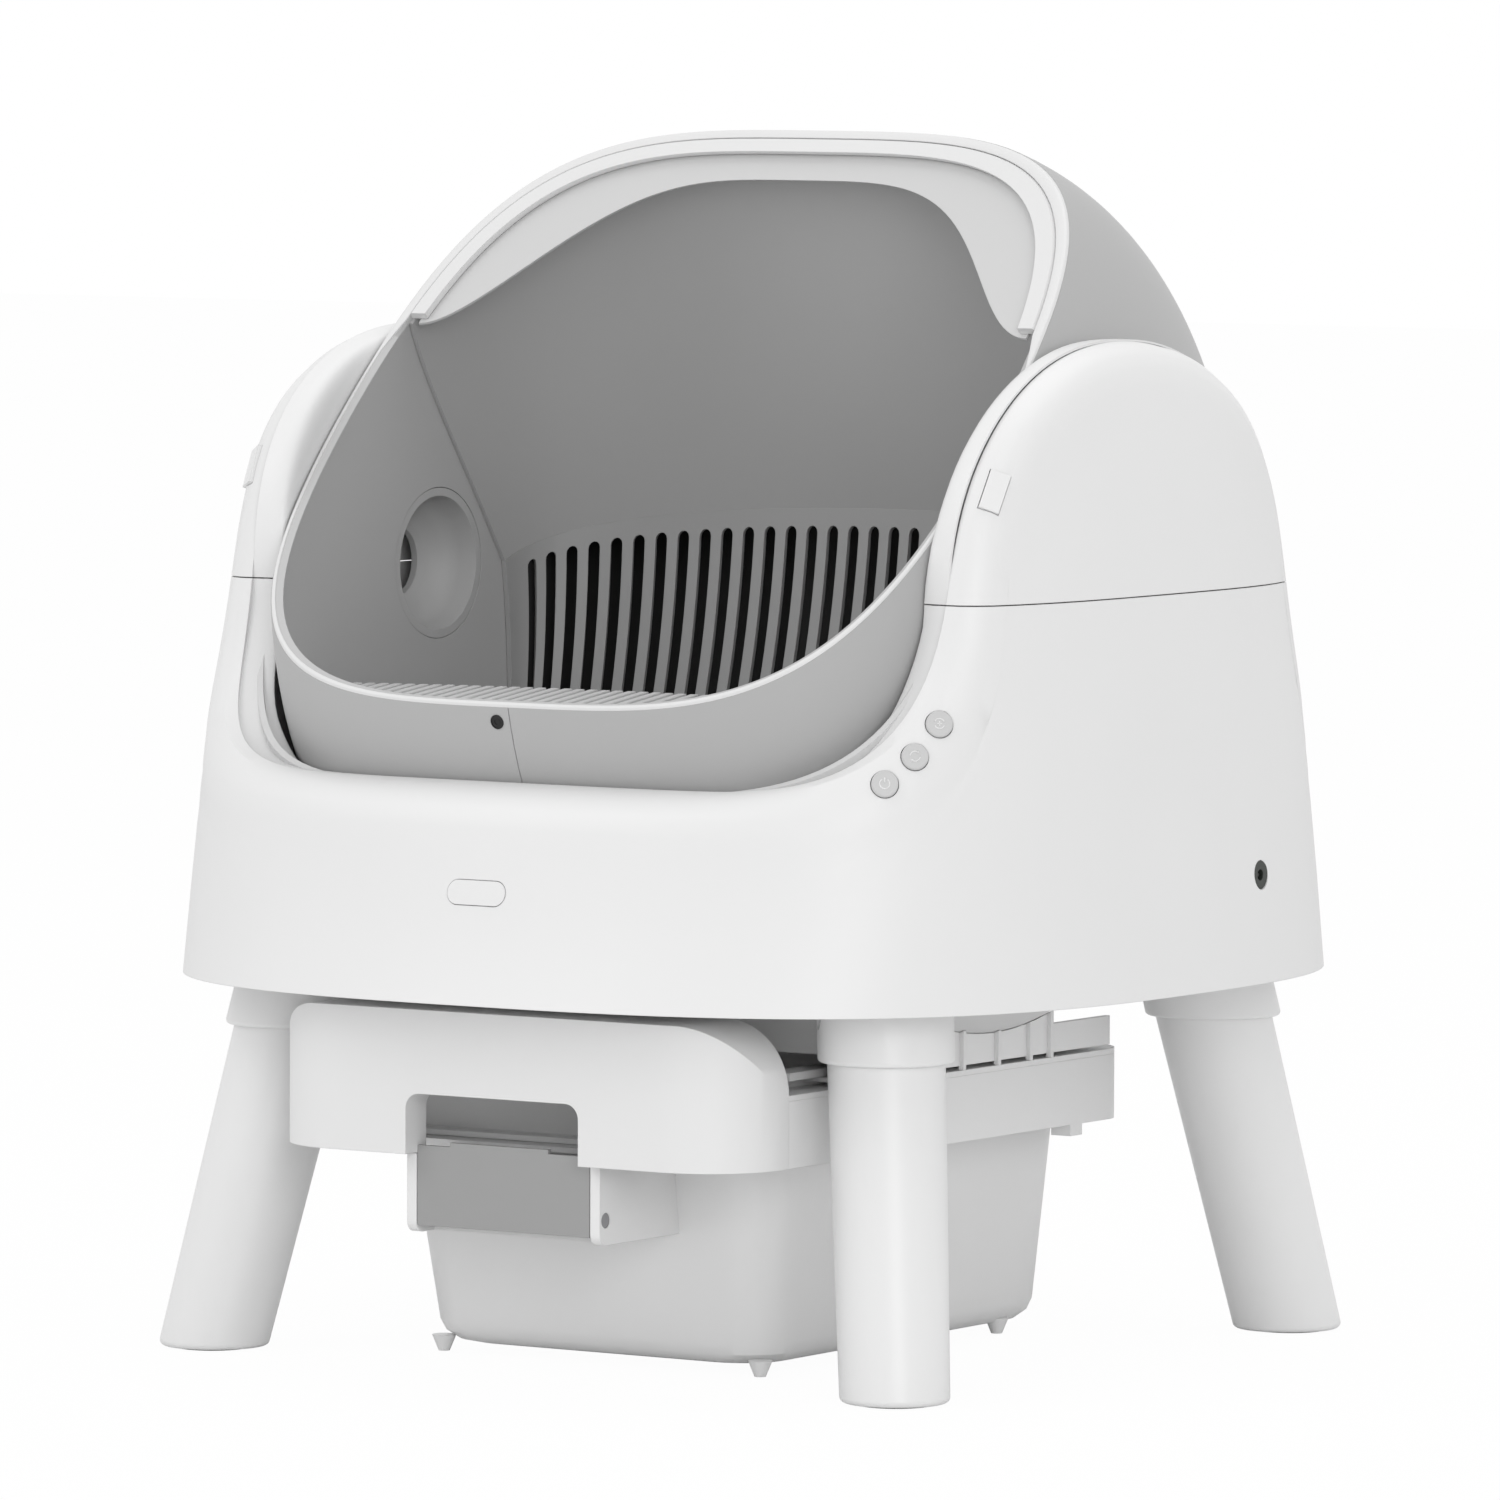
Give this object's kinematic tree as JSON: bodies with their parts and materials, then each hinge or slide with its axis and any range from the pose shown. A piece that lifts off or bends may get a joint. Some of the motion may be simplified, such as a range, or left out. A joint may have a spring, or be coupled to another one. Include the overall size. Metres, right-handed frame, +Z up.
{
  "type": "self-cleaning litter box",
  "caption": "Self-cleaning litter box: an open, tilted drum turns in a footed base, sieves the litter and drops the waste into a pull-out bin below.",
  "frame": {"origin": "centre of the rectangle of the four feet, on the floor", "axes": "+X to the right of a person facing the front, the front faces -Y, +Z up; the drum turns about an axis along X at a height of 0.41 m"},
  "size_m": [0.5532, 0.57, 0.6468],
  "materials": {
    "housing_white": "satin",
    "inner_white": "matt",
    "drum_grey": "satin",
    "liner_grey": "matt",
    "step_grey": "matt",
    "sieve_grey": "matt",
    "trim_white": "satin",
    "handle_grey": "satin",
    "button_grey": "satin",
    "gear_nylon": "matt",
    "rubber": "matt",
    "steel": "brushed",
    "electrics": "matt"
  },
  "bodies": {
    "base": {"base_floor": "inner_white", "base_shell": "housing_white", "control_board": "electrics", "drive_motor": "electrics", "drum_cradle": "inner_white", "foot_pads": "rubber", "front_left_leg": "housing_white", "front_left_leg_socket": "housing_white", "front_right_leg": "housing_white", "front_right_leg_socket": "housing_white", "left_bearing_stand": "inner_white", "left_cap_liner": "inner_white", "left_drawer_rail": "housing_white", "left_shoulder_cap": "housing_white", "leg_screws": "steel", "power_jack": "electrics", "presence_sensor": "housing_white", "rear_left_leg": "housing_white", "rear_left_leg_socket": "housing_white", "rear_right_leg": "housing_white", "rear_right_leg_socket": "housing_white", "right_bearing_stand": "inner_white", "right_cap_liner": "inner_white", "right_drawer_rail": "housing_white", "right_shoulder_cap": "housing_white", "sensor_window": "housing_white", "waste_chute": "housing_white"},
    "drum": {"drum_left_shell": "drum_grey", "drum_right_shell": "drum_grey", "left_side_panel": "drum_grey", "right_side_panel": "drum_grey", "back_wall": "liner_grey", "litter_sieve": "sieve_grey", "front_step": "step_grey", "hood_trim": "trim_white", "splash_guard": "trim_white", "rim_bead": "trim_white", "left_hub": "drum_grey", "right_hub": "gear_nylon", "ring_gear": "gear_nylon", "seam_screw": "steel"},
    "drawer": {"drawer_frame": "housing_white", "drawer_top_ring": "housing_white", "drawer_fascia": "housing_white", "waste_bin": "housing_white", "handle_mount": "housing_white", "handle_pin": "steel"},
    "pinion": {"drive_pinion": "gear_nylon"},
    "handle": {"bin_handle": "handle_grey"},
    "power_button": {"power_button": "button_grey"},
    "cycle_button": {"cycle_button": "button_grey"},
    "level_button": {"level_button": "button_grey"},
    "left_latch": {"left_cap_latch": "housing_white"},
    "right_latch": {"right_cap_latch": "housing_white"}
  },
  "joints": [
    {"name": "drum_turn", "type": "hinge", "parent": "base", "child": "drum", "pos_m": [0, 0, 0.41], "axis": [1, 0, 0], "range_deg": [-225, 20]},
    {"name": "pinion_turn", "type": "hinge", "parent": "base", "child": "pinion", "pos_m": [0.2301, 0, 0.3349], "axis": [1, 0, 0], "range_deg": [-80.5, 900.5]},
    {"name": "drawer_slide", "type": "slide", "parent": "base", "child": "drawer", "axis": [0, -1, 0], "range_m": [0, 0.3]},
    {"name": "handle_fold", "type": "hinge", "parent": "drawer", "child": "handle", "pos_m": [0, -0.2355, 0.088], "axis": [1, 0, 0], "range_deg": [0, 95]},
    {"name": "power_button_press", "type": "slide", "parent": "base", "child": "power_button", "axis": [-0.5495, 0.7891, -0.2745], "range_m": [0, 0.0012], "stiffness_N_per_m": 400},
    {"name": "cycle_button_press", "type": "slide", "parent": "base", "child": "cycle_button", "axis": [-0.6107, 0.7326, -0.3007], "range_m": [0, 0.0012], "stiffness_N_per_m": 400},
    {"name": "level_button_press", "type": "slide", "parent": "base", "child": "level_button", "axis": [-0.624, 0.7172, -0.3103], "range_m": [0, 0.0012], "stiffness_N_per_m": 400},
    {"name": "left_latch_press", "type": "slide", "parent": "base", "child": "left_latch", "axis": [0.635, 0.6948, -0.3376], "range_m": [0, 0.002], "stiffness_N_per_m": 500},
    {"name": "right_latch_press", "type": "slide", "parent": "base", "child": "right_latch", "axis": [-0.635, 0.6948, -0.3376], "range_m": [0, 0.002], "stiffness_N_per_m": 500}
  ],
  "couplings": [
    {"joint": "pinion_turn", "follows": "drum_turn", "ratio": -4}
  ]
}
